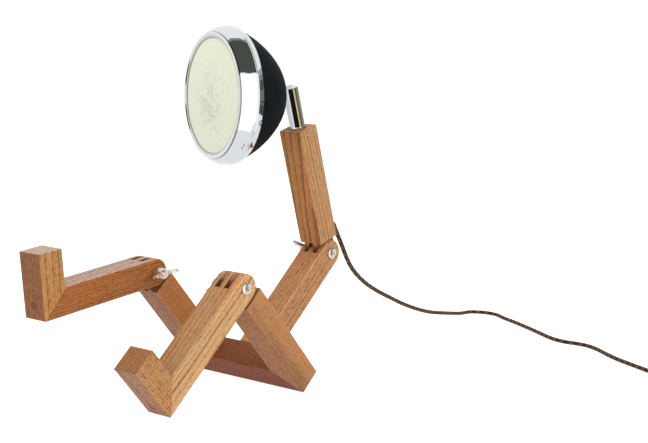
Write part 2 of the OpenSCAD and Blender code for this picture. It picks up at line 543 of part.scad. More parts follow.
module switch_rocker() color([0.75, 0.72, 0.66]) in_switch() translate([0, 0, rock_z]) rotate([0, 7, 0]) union() {
    along_y(-5.4, 5.4) polygon([[-9.6, 1.2], [-9.4, 4.5], [-8.8, 5], [-4, 4.1], [0, 3.8], [4, 4.1], [8.8, 5], [9.4, 4.5], [9.6, 1.2], [5, -1.8], [0, -3], [-5, -1.8]]);
    translate([0, -7.4, 0]) rotate([-90, 0, 0]) cylinder(r = 1.22, h = 14.8);
}
// Brass terminals, one fixed and one that the rocker presses
module switch_contacts() color([0.8, 0.65, 0.3]) in_switch() {
    for (s = [-1, 1]) translate([s * 14 - 4, -7, 1.8]) union() {
        cube([8, 5, 0.8]);
        translate([s > 0 ? 0 : 7.2, 0, 0]) cube([0.8, 5, 3.6]);
    }
    translate([-6, 2, 1.8]) cube([12, 5, 0.8]);
}

// Plug frame: z along the pins, y up, cord end of the strain relief at 0
module in_plug() translate(org + [446, plug_y, plug_z]) rotate([-90, 0, 0]) mirror([0, 1, 0]) children();
plug_relief = 20;
plug_len = 36;
module plug_body() color([0.12, 0.11, 0.1]) in_plug() difference() {
    union() {
        cylinder(r1 = cord_r + 0.7, r2 = 5, h = plug_relief + 1);
        intersection() {
            along_y(-6.8, 6.8) polygon([[-6, plug_relief], [6, plug_relief], [8.4, plug_relief + 4], [11, plug_relief + 12], [12.7, plug_relief + 18], [12.7, plug_relief + plug_len], [-12.7, plug_relief + plug_len], [-12.7, plug_relief + 18], [-11, plug_relief + 12], [-8.4, plug_relief + 4]]);
            along_x(-13, 13) polygon([[-5.4, plug_relief - 0.1], [5.4, plug_relief - 0.1], [6.8, plug_relief + 10], [6.8, plug_relief + plug_len + 1], [-6.8, plug_relief + plug_len + 1], [-6.8, plug_relief + 10]]);
            along_z(plug_relief - 1, plug_relief + plug_len) polygon(eased(-12.7, -6.8, 12.7, 6.8, 4));
        }
    }
    translate([0, 0, -1]) cylinder(r = cord_r, h = 13);
    for (s = [-1, 1]) translate([s * 9.3, 0, plug_relief + plug_len - 12]) cylinder(r = 1.6, h = 13);
}
module plug_pins() color(steel) in_plug() for (s = [-1, 1]) translate([s * 9.3, 0, plug_relief + plug_len - 12]) union() {
    cylinder(r = 1.6, h = 12);
    translate([0, 0, 12]) cylinder(r = 2, h = 18.2);
    translate([0, 0, 30.2]) cylinder(r1 = 2, r2 = 1.2, h = 0.8);
}

crossbar();
thigh(1);  // left_thigh
thigh(-1);  // right_thigh
spine();
spine_dowels();
frame_screws();
frame_plugs();
waist_bolt();
waist_washer();
waist_wing_nut();
shin(1);  // left_shin
foot(1);  // left_foot
foot_screw(1);  // left_foot_screw
foot_plug(1);  // left_foot_plug
knee_bolt(1);  // left_knee_bolt
knee_washer(1);  // left_knee_washer
knee_nut(1, 40);  // left_wing_nut
shin(-1);  // right_shin
foot(-1);  // right_foot
foot_screw(-1);  // right_foot_screw
foot_plug(-1);  // right_foot_plug
knee_bolt(-1);  // right_knee_bolt
knee_washer(-1);  // right_knee_washer
knee_nut(-1, 9.6);  // right_wing_nut
neck_beam();
post_bush();
cord_grip();
inner_cord();
post();
post_cap();
retaining_ring();
ball_stud();
post_leads();
head_shell();
rim_band();
bezel_ring();
lens();
lens_gasket();
reflector();
led_board();
led_chips();
heat_sink();
led_driver();
head_screws();
socket_body();
socket_cap();
ball_seat();
spring_washer();
head_leads();
mains_cord();
cord_coil();
coil_tie();
switch_base();
switch_cover();
switch_rocker();
plug_body();
plug_pins();
switch_contacts();
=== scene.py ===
import math
from math import cos, sin, pi, radians

import bmesh
import bpy
from mathutils import Euler, Matrix, Vector


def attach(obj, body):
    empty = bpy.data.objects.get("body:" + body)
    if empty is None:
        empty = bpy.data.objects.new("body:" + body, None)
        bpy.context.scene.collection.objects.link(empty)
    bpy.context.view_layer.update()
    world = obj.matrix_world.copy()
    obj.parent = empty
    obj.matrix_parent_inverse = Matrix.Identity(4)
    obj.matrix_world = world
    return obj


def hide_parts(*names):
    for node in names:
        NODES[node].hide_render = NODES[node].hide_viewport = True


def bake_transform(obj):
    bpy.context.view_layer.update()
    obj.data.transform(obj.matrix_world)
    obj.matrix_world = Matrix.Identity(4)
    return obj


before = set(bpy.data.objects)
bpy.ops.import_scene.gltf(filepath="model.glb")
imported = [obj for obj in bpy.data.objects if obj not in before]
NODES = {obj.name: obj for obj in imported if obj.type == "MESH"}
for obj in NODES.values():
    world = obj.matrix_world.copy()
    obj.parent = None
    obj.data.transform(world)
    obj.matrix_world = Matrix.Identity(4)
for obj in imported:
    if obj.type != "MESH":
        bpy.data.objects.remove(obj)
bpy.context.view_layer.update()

scene = bpy.context.scene

# ---------------------------------------------------------------- places, in millimetres as in the construction
HW, HD, ER = 16.0, 15.0, 1.4
ORG = Vector((8.46, 77.28, 0))
LEAN, NECK_LEAN, YAW, TILT = radians(44.5), radians(21), radians(21), radians(16.9)
HALF, THIGH, SPINE, SHIN, FOOT, NECK = 82.0, 159.0, 166.5, 157.0, 70.5, 155.5
BASE_Z = (HD - ER) * cos(LEAN) - ER * sin(LEAN) + ER
KNEE = ORG + Vector((0, -THIGH * cos(LEAN), BASE_Z + THIGH * sin(LEAN)))
WAIST = ORG + Vector((0, -HW * cos(LEAN) + SPINE * sin(LEAN), BASE_Z + HW * sin(LEAN) + SPINE * cos(LEAN)))
LEFT_DROP = math.asin((KNEE.z - ER) / math.hypot(SHIN - ER, HD - ER)) - math.atan((HD - ER) / (SHIN - ER))
RIGHT_DROP = radians(10)
MM = 0.001


def T(x, y=None, z=None):
    return Matrix.Translation(Vector(x) if y is None else Vector((x, y, z)))


def RX(a):
    return Matrix.Rotation(a, 4, "X")


def RZ(a):
    return Matrix.Rotation(a, 4, "Z")


IN_FRAME = T(ORG + Vector((0, 0, BASE_Z))) @ RX(pi / 2 - LEAN)
IN_SPINE = T(WAIST) @ RX(-LEAN)
IN_NECK = T(WAIST) @ RX(NECK_LEAN)
IN_POST = IN_NECK @ T(0, 0, NECK) @ RZ(-YAW)
IN_BALL = IN_POST @ T(0, -23.3, 45.5)
IN_HEAD = IN_BALL @ RX(pi / 2 - TILT)


def in_shin(side):
    return T(KNEE + Vector((side * (HALF - HW), 0, 0))) @ RX(pi / 2 + (LEFT_DROP if side > 0 else RIGHT_DROP))


SCALE = Matrix.Scale(MM, 4)


# ---------------------------------------------------------------- camera
AZ, EL, ROLL = radians(39.23), radians(5.083), radians(3.45)
back = Vector((sin(AZ) * cos(EL), -cos(AZ) * cos(EL), sin(EL)))
right = (-back).cross(Vector((0, 0, 1))).normalized()
up = right.cross(-back)
r2 = cos(ROLL) * right + sin(ROLL) * up
u2 = -sin(ROLL) * right + cos(ROLL) * up
cam = bpy.data.objects.new("camera", bpy.data.cameras.new("camera"))
scene.collection.objects.link(cam)
cam.matrix_world = T(1.065945, -1.117823, 0.325873) @ Matrix((r2, u2, back)).transposed().to_4x4()
cam.data.sensor_width = 36
cam.data.lens = 1425.84 / 648 * 36
cam.data.shift_x = (324 - 320.15) / 648
cam.data.shift_y = (220.34 - 221.5) / 648
cam.data.clip_start, cam.data.clip_end = 0.05, 60
scene.camera = cam


# ---------------------------------------------------------------- helpers
def new_object(name, mesh):
    o = bpy.data.objects.new(name, mesh)
    scene.collection.objects.link(o)
    return o


def mesh_object(name, verts, faces, smooth=True, sharp=None):
    me = bpy.data.meshes.new(name)
    me.from_pydata([tuple(v) for v in verts], [], faces)
    me.validate()
    me.update()
    if smooth:
        me.polygons.foreach_set("use_smooth", [True] * len(me.polygons))
    if sharp is not None:
        sharpen(me, sharp)
    return new_object(name, me)


def sharpen(me, degrees):
    """Marks the edges that are sharper than this as hard, and shades the rest smooth."""
    bm = bmesh.new()
    bm.from_mesh(me)
    limit = radians(degrees)
    for f in bm.faces:
        f.smooth = True
    for e in bm.edges:
        if len(e.link_faces) == 2:
            e.smooth = e.calc_face_angle(0) < limit
    bm.to_mesh(me)
    bm.free()


def lathe(name, profile, matrix, segs=192, closed=True, sharp=30):
    """Profile points are (radius, height) in mm, turned about z. The matrix takes mm to mm in the row frame."""
    verts, faces, rings = [], [], []
    m = SCALE @ matrix
    for r, z in profile:
        if r < 1e-6:
            rings.append([len(verts)])
            verts.append(m @ Vector((0, 0, z)))
        else:
            rings.append(list(range(len(verts), len(verts) + segs)))
            for k in range(segs):
                a = 2 * pi * k / segs
                verts.append(m @ Vector((r * cos(a), r * sin(a), z)))
    pairs = list(zip(rings, rings[1:])) + ([(rings[-1], rings[0])] if closed else [])
    for a, b in pairs:
        if len(a) == 1 and len(b) == 1:
            continue
        for k in range(segs):
            k2 = (k + 1) % segs
            if len(a) == 1:
                faces.append((a[0], b[k2], b[k]))
            elif len(b) == 1:
                faces.append((a[k], a[k2], b[0]))
            else:
                faces.append((a[k], a[k2], b[k2], b[k]))
    o = mesh_object(name, verts, faces)
    bm = bmesh.new()
    bm.from_mesh(o.data)
    bmesh.ops.recalc_face_normals(bm, faces=bm.faces)
    bm.to_mesh(o.data)
    bm.free()
    sharpen(o.data, sharp)
    return o


def catmull(points, steps):
    out = []
    n = len(points)
    for i in range(n - 1):
        p0, p1, p2, p3 = points[max(i - 1, 0)], points[i], points[i + 1], points[min(i + 2, n - 1)]
        for k in range(steps):
            t = k / steps
            out.append(tuple(0.5 * (2 * b + (c - a) * t + (2 * a - 5 * b + 4 * c - d) * t * t + (3 * b - a - 3 * c + d) * t ** 3)
                             for a, b, c, d in zip(p0, p1, p2, p3)))
    out.append(tuple(points[-1]))
    return out


def arc(cx, cy, r, a0, a1, n=6):
    return [(cx + r * cos(radians(a0 + (a1 - a0) * i / n)), cy + r * sin(radians(a0 + (a1 - a0) * i / n))) for i in range(n + 1)]


# ---------------------------------------------------------------- material helper
def lin(c):
    c = [x / 255 for x in c]
    return tuple(x / 12.92 if x <= 0.04045 else ((x + 0.055) / 1.055) ** 2.4 for x in c) + (1.0,)


class Mat:
    def __init__(self, name):
        self.m = bpy.data.materials.new(name)
        self.m.use_nodes = True
        self.t = self.m.node_tree
        self.t.nodes.clear()
        self.out = self.t.nodes.new("ShaderNodeOutputMaterial")
        self.b = self.t.nodes.new("ShaderNodeBsdfPrincipled")
        self.t.links.new(self.b.outputs[0], self.out.inputs[0])

    def put(self, socket, value):
        if isinstance(value, bpy.types.NodeSocket):
            self.t.links.new(value, socket)
        else:
            socket.default_value = value

    def node(self, kind, **inputs):
        n = self.t.nodes.new("ShaderNode" + kind)
        for k, v in inputs.items():
            self.put(n.inputs[int(k[1:]) if k[0] == "i" and k[1:].isdigit() else k], v)
        return n

    def math(self, op, a, b=0.0, c=None, clamp=False):
        n = self.t.nodes.new("ShaderNodeMath")
        n.operation = op
        n.use_clamp = clamp
        self.put(n.inputs[0], a)
        self.put(n.inputs[1], b)
        if c is not None:
            self.put(n.inputs[2], c)
        return n.outputs[0]

    def vmul(self, v, s, offset=(0, 0, 0)):
        n = self.t.nodes.new("ShaderNodeVectorMath")
        n.operation = "MULTIPLY_ADD"
        self.put(n.inputs[0], v)
        n.inputs[1].default_value = s
        n.inputs[2].default_value = offset
        return n.outputs[0]

    def object_mm(self, matrix=None):
        """Coordinates in mm in a local frame that turns with the object."""
        tc = self.t.nodes.new("ShaderNodeTexCoord")
        mp = self.t.nodes.new("ShaderNodeMapping")
        mp.vector_type = "TEXTURE"
        if matrix is not None:
            mp.inputs["Location"].default_value = matrix.translation * MM
            mp.inputs["Rotation"].default_value = matrix.to_3x3().to_euler("XYZ")
        mp.inputs["Scale"].default_value = (MM, MM, MM)
        self.t.links.new(tc.outputs["Object"], mp.inputs["Vector"])
        return mp.outputs[0]

    def noise(self, vec, scale=1.0, detail=2.0, rough=0.5, distort=0.0, color=False):
        n = self.t.nodes.new("ShaderNodeTexNoise")
        self.put(n.inputs["Vector"], vec)
        n.inputs["Scale"].default_value = scale
        n.inputs["Detail"].default_value = detail
        n.inputs["Roughness"].default_value = rough
        n.inputs["Distortion"].default_value = distort
        return n.outputs["Color" if color else "Fac"]

    def noise1(self, w, scale=1.0, detail=1.0):
        n = self.t.nodes.new("ShaderNodeTexNoise")
        n.noise_dimensions = "1D"
        self.put(n.inputs["W"], w)
        n.inputs["Scale"].default_value = scale
        n.inputs["Detail"].default_value = detail
        return n.outputs["Fac"]

    def ramp(self, fac, *stops, interp="LINEAR"):
        n = self.t.nodes.new("ShaderNodeValToRGB")
        n.color_ramp.interpolation = interp
        e = n.color_ramp.elements
        while len(e) < len(stops):
            e.new(0.5)
        for x, (p, c) in zip(e, stops):
            x.position = p
            x.color = (c, c, c, 1) if isinstance(c, (int, float)) else c
        self.put(n.inputs[0], fac)
        return n.outputs[0]

    def span(self, v, a, b, c=0.0, d=1.0, smooth=False):
        n = self.t.nodes.new("ShaderNodeMapRange")
        n.interpolation_type = "SMOOTHSTEP" if smooth else "LINEAR"
        self.put(n.inputs["Value"], v)
        for k, x in zip(("From Min", "From Max", "To Min", "To Max"), (a, b, c, d)):
            self.put(n.inputs[k], x)
        return n.outputs["Result"]

    def mix(self, fac, a, b, blend="MIX"):
        n = self.t.nodes.new("ShaderNodeMix")
        n.data_type = "RGBA"
        n.blend_type = blend
        self.put(n.inputs[0], fac)
        self.put(n.inputs[6], a)
        self.put(n.inputs[7], b)
        return n.outputs[2]

    def bump(self, height, strength=0.3, distance=0.0002, normal=None):
        n = self.t.nodes.new("ShaderNodeBump")
        n.inputs["Strength"].default_value = strength
        n.inputs["Distance"].default_value = distance
        self.put(n.inputs["Height"], height)
        if normal is not None:
            self.put(n.inputs["Normal"], normal)
        return n.outputs[0]

    def finish(self, color=None, rough=None, metal=0.0, normal=None, spec=0.5, coat=0.0, coat_rough=0.1, **more):
        b = self.b.inputs
        if color is not None:
            self.put(b["Base Color"], color)
        if rough is not None:
            self.put(b["Roughness"], rough)
        b["Metallic"].default_value = metal
        b["Specular IOR Level"].default_value = spec
        b["Coat Weight"].default_value = coat
        b["Coat Roughness"].default_value = coat_rough
        for k, v in more.items():
            self.put(b[k.replace("_", " ")], v)
        if normal is not None:
            self.put(b["Normal"], normal)
        return self.m


def wood(name, local, seed, theta=35.0, pith=90.0, ring=3.4, drift=0.0, light=(196, 146, 102), dark=(140, 92, 58), pore=(104, 54, 28),
         contrast=0.7, pores=0.8, wander=2.2, arris=(HW, HD), dash=4.2, frame_of=None, faces=None, level=0.5, slot_shade=0.9, finger_end_shade=None, stripes=None):
    """Oiled open-grained timber. Local z is the way the grain runs; x and y cross the beam."""
    m = Mat(name)
    p = m.object_mm(local)
    s = m.node("SeparateXYZ", i0=p).outputs
    off = (seed * 7.13, seed * 3.71, seed * 5.39)
    th = radians(theta)
    warp = m.noise(m.vmul(p, (1 / 55, 1 / 55, 1 / 210), off), 1.0, 2.0, 0.45)
    vx = m.math("ADD", s[0], pith * cos(th))
    vy = m.math("ADD", s[1], pith * sin(th))
    dist = m.math("SQRT", m.math("ADD", m.math("MULTIPLY", vx, vx), m.math("MULTIPLY", vy, vy)))
    q = m.math("MULTIPLY_ADD", s[2], drift, dist)
    q = m.math("MULTIPLY_ADD", m.math("SUBTRACT", warp, 0.5), wander * 2, q)
    uneven = m.noise1(m.math("MULTIPLY", q, 0.22 / ring), 1.0, 1.0)
    n = m.math("MULTIPLY_ADD", m.math("SUBTRACT", uneven, 0.5), 1.5, m.math("DIVIDE", q, ring))
    f = m.math("FRACT", n)
    early = m.ramp(f, (0.0, 0.0), (0.08, 1.0), (0.2, 0.8), (0.42, 0.16), (1.0, 0.0), interp="EASE")
    wn = m.t.nodes.new("ShaderNodeTexWhiteNoise")
    wn.noise_dimensions = "1D"
    m.put(wn.inputs["W"], m.math("ADD", m.math("FLOOR", n), seed * 1.7))
    strength = m.math("MULTIPLY_ADD", wn.outputs["Value"], 0.6, 0.4)
    patch = m.noise(m.vmul(p, (1 / 14, 1 / 14, 1 / 75), off), 1.0, 2.0, 0.5)
    strength = m.math("MULTIPLY", strength, m.span(patch, 0.3, 0.7, 0.45, 1.15))
    ringmask = m.math("MULTIPLY", m.math("MULTIPLY", early, strength), contrast, clamp=True)
    # open pores, as short dashes along the grain
    fine = m.noise(m.vmul(p, (1 / 0.95, 1 / 0.95, 1 / dash), off), 1.0, 1.5, 0.5)
    fine2 = m.noise(m.vmul(p, (1 / 0.6, 1 / 0.6, 1 / (dash * 0.5)), off), 1.0, 1.0, 0.5)
    pm = m.span(fine, 0.515, 0.62, smooth=True)
    pm2 = m.span(fine2, 0.54, 0.66, smooth=True)
    pm = m.math("MAXIMUM", pm, m.math("MULTIPLY", pm2, 0.6))
    pm = m.math("MULTIPLY", pm, m.math("MULTIPLY_ADD", early, 0.5, 0.5))
    pm = m.math("MULTIPLY", pm, pores, clamp=True)
    fibre = m.noise(m.vmul(p, (1 / 1.0, 1 / 1.0, 1 / 22), off), 1.0, 3.0, 0.7)
    cloud = m.noise(m.vmul(p, (1 / 26, 1 / 26, 1 / 80), off), 1.0, 2.0, 0.5)
    L, D = lin(light), lin(dark)
    warm = tuple(a * b for a, b in zip(L, (1.0, 0.86, 0.74, 1)))
    base = m.mix(m.span(cloud, 0.35, 0.7), L, warm)
    col = m.mix(ringmask, base, D)
    col = m.mix(pm, col, lin(pore))
    shade = m.math("MULTIPLY_ADD", m.math("SUBTRACT", fibre, 0.5), 1.15, 1.0)
    shade = m.math("MULTIPLY", shade, m.math("MULTIPLY_ADD", m.math("SUBTRACT", cloud, 0.5), 0.35, 1.0))
    # arrises painted a little lighter: a painted highlight along the rounded edges
    if arris:
        ax = m.span(m.math("ABSOLUTE", s[0]), arris[0] - 1.6, arris[0] - 0.3, smooth=True)
        ay = m.span(m.math("ABSOLUTE", s[1]), arris[1] - 1.6, arris[1] - 0.3, smooth=True)
        shade = m.math("MULTIPLY", shade, m.math("MULTIPLY_ADD", m.math("MULTIPLY", ax, ay), 0.22, 1.0))
    if stripes:
        run = m.math("MULTIPLY_ADD", m.math("SUBTRACT", warp, 0.5), 5.0, s[0])
        wave = m.math("SINE", m.math("MULTIPLY", run, 2 * pi / stripes[0]))
        shade = m.math("MULTIPLY", shade, m.math("MULTIPLY_ADD", wave, m.math("MULTIPLY", m.span(patch, 0.3, 0.7, 0.6, 1.2), m.span(m.math("ABSOLUTE", s[0]), 15.9, 14.9, 0.0, stripes[1])), 1.0))
    shade = m.math("MULTIPLY", shade, level)
    grey = m.node("CombineColor", i0=shade, i1=shade, i2=shade).outputs[0]
    col = m.mix(1.0, col, grey, "MULTIPLY")
    # each face direction gets its own colour multiplier: painted light and shade for how light falls on that side, and
    # painted sheen on the up-turned faces
    if faces:
        nrm = m.t.nodes.new("ShaderNodeTexCoord").outputs["Normal"]
        turn = m.t.nodes.new("ShaderNodeMapping")
        turn.vector_type = "VECTOR"
        turn.inputs["Rotation"].default_value = (frame_of or local).to_3x3().transposed().to_euler("XYZ")
        m.t.links.new(nrm, turn.inputs["Vector"])
        axes = m.node("SeparateXYZ", i0=turn.outputs[0]).outputs
        # sawn walls inside the comb joints are painted darker: painted shade in the slots
        slot_wall_shade = m.math("MULTIPLY", m.span(m.math("ABSOLUTE", axes[0]), 0.75, 0.9), m.span(m.math("ABSOLUTE", m.node("SeparateXYZ", i0=m.object_mm(frame_of or local)).outputs[0]), 15.4, 15.2))
        col = m.mix(m.math("MULTIPLY", slot_wall_shade, slot_shade), col, tuple(0.35 * a for a in lin((150, 78, 40))[:3]) + (1,))
        if finger_end_shade:
            # rounded finger ends inside the joint are painted dark: painted shade deep in the joint
            q = m.node("SeparateXYZ", i0=m.object_mm(frame_of or local)).outputs
            into = m.math("ADD", m.math("MULTIPLY", q[1], finger_end_shade[3]), m.math("MULTIPLY", m.math("SUBTRACT", q[2], finger_end_shade[2]), finger_end_shade[4]))
            into = m.math("MULTIPLY", m.span(q[2], finger_end_shade[0], finger_end_shade[1]), m.span(into, 1.0, 5.0))
            col = m.mix(m.math("MULTIPLY", into, 0.92), col, tuple(0.2 * a for a in lin((176, 84, 34))[:3]) + (1,))
        # multiply in the painted light, shade and sheen of each face direction
        for key, tone in faces.items():
            d = axes["xyz".index(key[1])]
            if key[0] == "-":
                d = m.math("MULTIPLY", d, -1.0)
            col = m.mix(1.0, col, m.mix(m.span(d, 0.55, 0.9, smooth=True), (1, 1, 1, 1), tuple(tone) + (1,)), "MULTIPLY")
    height = m.math("SUBTRACT", m.math("MULTIPLY", fibre, 0.25), m.math("MULTIPLY_ADD", ringmask, 0.25, pm))
    rough = m.math("MULTIPLY_ADD", pm, 0.22, m.math("MULTIPLY_ADD", fibre, 0.14, 0.42))
    return m.finish(color=col, rough=rough, normal=m.bump(height, 0.5, 0.00012), spec=0.22)


def chrome(name, tint=(228, 230, 232), rough=0.05, wear=0.03, local=None, seam=None):
    m = Mat(name)
    p = m.object_mm(local)
    a = m.noise(m.vmul(p, (1 / 9, 1 / 9, 1 / 9)), 1.0, 3.0, 0.6)
    b = m.noise(m.vmul(p, (1 / 0.6, 1 / 0.6, 1 / 0.6)), 1.0, 2.0, 0.5)
    r = m.math("MULTIPLY_ADD", m.span(a, 0.4, 0.75), wear, rough)
    c = m.mix(m.span(a, 0.35, 0.8, 0.0, 0.35), lin(tint), tuple(x * 0.86 for x in lin(tint)[:3]) + (1,))
    if seam:
        # the turned edge at a seam is left dull
        q = m.node("SeparateXYZ", i0=p).outputs
        reach = m.math("SQRT", m.math("ADD", m.math("MULTIPLY", q[0], q[0]), m.math("MULTIPLY", q[1], q[1])))
        c = m.mix(m.span(reach, seam - 0.15, seam + 0.15), c, (0.2, 0.2, 0.2, 1))
        c = m.mix(m.span(reach, 66.6, 65.4), c, (0.6, 0.6, 0.59, 1))
    return m.finish(color=c, rough=r, metal=1.0, normal=m.bump(m.math("MULTIPLY_ADD", b, 0.12, a), 0.06, 0.00006))


def brushed(name, tint=(165, 166, 170), rough=0.3, local=None):
    m = Mat(name)
    p = m.object_mm(local)
    a = m.noise(m.vmul(p, (1 / 0.3, 1 / 0.3, 1 / 6)), 1.0, 2.0, 0.6)
    b = m.noise(m.vmul(p, (1 / 7, 1 / 7, 1 / 7)), 1.0, 2.0, 0.5)
    c = m.mix(m.span(b, 0.3, 0.7), lin(tint), tuple(x * 0.75 for x in lin(tint)[:3]) + (1,))
    return m.finish(color=c, rough=m.math("MULTIPLY_ADD", a, 0.2, rough), metal=1.0, normal=m.bump(a, 0.15, 0.00005))


def plastic(name, tint, rough=0.45, grain=0.6, bump=0.12, spec=0.5, tone=0.12, metal=0.0, **more):
    m = Mat(name)
    p = m.object_mm()
    a = m.noise(m.vmul(p, (1 / grain,) * 3), 1.0, 3.0, 0.6)
    b = m.noise(m.vmul(p, (1 / 18,) * 3), 1.0, 2.0, 0.5)
    c0 = lin(tint)
    c = m.mix(m.span(b, 0.3, 0.7), c0, tuple(x * (1 - tone) for x in c0[:3]) + (1,))
    return m.finish(color=c, rough=m.math("MULTIPLY_ADD", m.math("SUBTRACT", a, 0.5), 0.18, rough), normal=m.bump(a, bump, 0.00008), spec=spec, metal=metal, **more)


def assign(material, *nodes):
    for n in nodes:
        me = NODES[n].data
        if not me.materials:
            me.materials.append(material)
        for i in range(len(NODES[n].material_slots)):
            NODES[n].material_slots[i].material = material


# ---------------------------------------------------------------- mains cord
CORD_D, COIL_R, EXIT_H, GRIP_OUT = 5.5, 30.0, 38.0, 12.0
DOWN = Vector((0, cos(pi / 4 - NECK_LEAN), -sin(pi / 4 - NECK_LEAN)))
GRIP_TIP = WAIST + Vector((0, -sin(NECK_LEAN) * EXIT_H + cos(NECK_LEAN) * HD, cos(NECK_LEAN) * EXIT_H + sin(NECK_LEAN) * HD)) + GRIP_OUT * DOWN
FREE = [(-4, 137, 162), (-8, 151, 149), (-17, 178, 125), (-25, 203, 108), (-33, 236, 91), (-44, 277, 76), (-57, 325, 61.5),
        (-71, 374, 47.5), (-86, 430, 33.5), (-101, 487, 22), (-117, 546, 13.5), (-131, 595, 7), (-139, 625, 3.6)]
TABLE = [(-142.5, 639), (-142.5, 653), (-135.5, 665), (-123.5, 672), (-109.5, 672), (-97, 665.5), (-80, 652.5), (-47, 631.5), (-14, 609), (18, 586),
         (46, 565), (68, 551), (88, 545.5), (107, 548), (125, 545), (146, 532), (174, 508), (200, 488), (230, 469), (261, 450), (285, 434), (302, 419)]
SWITCH_C, SWITCH_A = (336, 378), radians(-53)
AFTER = [(366, 339), (378, 329), (394, 323.5), (410, 323.3)]
COIL_C, PLUG_Y, PLUG_Z, SW_Z = (412, 356), 394, 6.8, 6.0
SW_DIR = Vector((cos(SWITCH_A), sin(SWITCH_A), 0))
SW_MID = ORG + Vector((SWITCH_C[0], SWITCH_C[1], SW_Z))
CZ = CORD_D / 2


def at(q, z=CZ):
    return ORG + Vector((q[0], q[1], z))


lead_1 = [GRIP_TIP, GRIP_TIP + 9 * DOWN] + [ORG + Vector(q) for q in FREE] + [at(q) for q in TABLE] + [SW_MID - 40 * SW_DIR - Vector((0, 0, 0.6)), SW_MID - 31 * SW_DIR]
lead_2 = [SW_MID + 31 * SW_DIR, SW_MID + 39 * SW_DIR - Vector((0, 0, 0.8))] + [at(q) for q in AFTER]
lead_3 = [ORG + Vector(q) for q in ((444.5, 350, 7.6), (445.6, 366, 4.2), (446, 382, 5.4), (446, PLUG_Y, PLUG_Z))]
centre = ORG + Vector((COIL_C[0], COIL_C[1], 0))
coil = []
a0, a1 = -90.0, -10.5 + 360 * 4
LAYERS = ((0.0, 32.75, CZ), (0.92, 32.75, CZ), (1.08, 27.25, CZ), (1.92, 27.25, CZ), (2.10, 27.25, CZ + 5.4), (2.95, 27.25, CZ + 5.4), (3.12, 32.75, CZ + 5.4), (9, 32.75, CZ + 5.4))


def layer(turn):
    for (t0, ra, za), (t1, rb, zb) in zip(LAYERS, LAYERS[1:]):
        if turn <= t1:
            w = (turn - t0) / (t1 - t0)
            w = w * w * (3 - 2 * w)
            return ra + (rb - ra) * w, za + (zb - za) * w
    return LAYERS[-1][1:]


STEPS = 96
for k in range(1, STEPS):
    a = a0 + (a1 - a0) * k / STEPS
    r, z = layer((a - a0) / 360)
    coil.append(centre + Vector((r * cos(radians(a)), r * sin(radians(a)), z)))
route = [Vector(p) for p in catmull([tuple(p) for p in lead_1], 4)] + [SW_MID] + [Vector(p) for p in catmull([tuple(p) for p in lead_2], 4)]
ends = [Vector(p) for p in catmull([tuple(p) for p in lead_3], 4)]
route = route + coil + ends


def resample(points, step):
    """The points again, evenly spaced, on a smooth line through the given ones."""
    dense = [Vector(p) for p in catmull([tuple(p) for p in points], 8)]
    out, left = [dense[0]], step
    for a, b in zip(dense, dense[1:]):
        l = (b - a).length
        t = 0.0
        while l - t > left:
            t += left
            out.append(a.lerp(b, t / l))
            left = step
        left -= l - t
    if (out[-1] - dense[-1]).length > step * 0.3:
        out.append(dense[-1])
    return out


line = resample(route, 0.9)

SIDES = 28
PLAITS = 8
verts, faces, shade = [], [], []
side = None
travelled = 0.0
for i, p in enumerate(line):
    a, b = line[max(i - 1, 0)], line[min(i + 1, len(line) - 1)]
    t = (b - a).normalized()
    if side is None:
        side = t.cross(Vector((0, 0, 1))).normalized()
    side = (side - t * side.dot(t)).normalized()
    other = t.cross(side)
    if i:
        travelled += (p - line[i - 1]).length
    for k in range(SIDES):
        th = 2 * pi * k / SIDES
        u, v = PLAITS * k / SIDES, travelled / 3.6
        fa, fb = u + v, u - v
        over = (math.floor(fa) + math.floor(fb)) % 2
        crest = abs(sin(pi * (fa if over else fb)))
        r = CORD_D / 2 - 0.22 * (1 - crest ** 0.6)
        verts.append((p + r * (cos(th) * side + sin(th) * other)) * MM)
        strand = math.floor(fa) % PLAITS if over else math.floor(fb) % PLAITS
        gold = 1.0 if strand in ((0, 4) if over else (2, 6)) else 0.0
        shade.append((gold, crest, 1.0 if over else 0.0, 1.0))
n = len(line)
for i in range(n - 1):
    for k in range(SIDES):
        k2 = (k + 1) % SIDES
        faces.append((i * SIDES + k, i * SIDES + k2, (i + 1) * SIDES + k2, (i + 1) * SIDES + k))
faces.append(tuple(reversed(range(SIDES))))
faces.append(tuple(range((n - 1) * SIDES, n * SIDES)))
cord = mesh_object("mains_cord_braid", verts, faces)
bm = bmesh.new()
bm.from_mesh(cord.data)
bmesh.ops.recalc_face_normals(bm, faces=bm.faces)
bm.to_mesh(cord.data)
bm.free()
att = cord.data.attributes.new("plait", "FLOAT_COLOR", "POINT")
att.data.foreach_set("color", [c for s4 in shade for c in s4])
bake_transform(cord)
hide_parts("mains_cord", "cord_coil")

m = Mat("braided_cord")
pl = m.t.nodes.new("ShaderNodeAttribute")
pl.attribute_name = "plait"
ps = m.node("SeparateColor", i0=pl.outputs["Color"]).outputs
p = m.object_mm()
fuzz = m.noise(m.vmul(p, (1 / 0.5,) * 3), 1.0, 2.0, 0.6)
slow = m.noise(m.vmul(p, (1 / 30,) * 3), 1.0, 2.0, 0.5)
gold = m.mix(m.span(slow, 0.3, 0.7), lin((138, 92, 40)), lin((112, 72, 32)))
brown = m.mix(m.span(slow, 0.3, 0.7), lin((26, 14, 8)), lin((18, 10, 6)))
col = m.mix(ps[0], brown, gold)
# darker toward the valleys between strands: painted shade in the braid's creases
col = m.mix(m.span(ps[1], 0.0, 0.7, 0.8, 0.0), col, lin((18, 11, 6)))
col = m.mix(m.span(fuzz, 0.4, 0.8, 0.0, 0.3), col, lin((84, 60, 32)))
m.finish(color=col, rough=m.math("MULTIPLY_ADD", fuzz, 0.25, 0.48), normal=m.bump(fuzz, 0.4, 0.00012), spec=0.25, Sheen_Weight=0.0)
cord.data.materials.append(m.m)

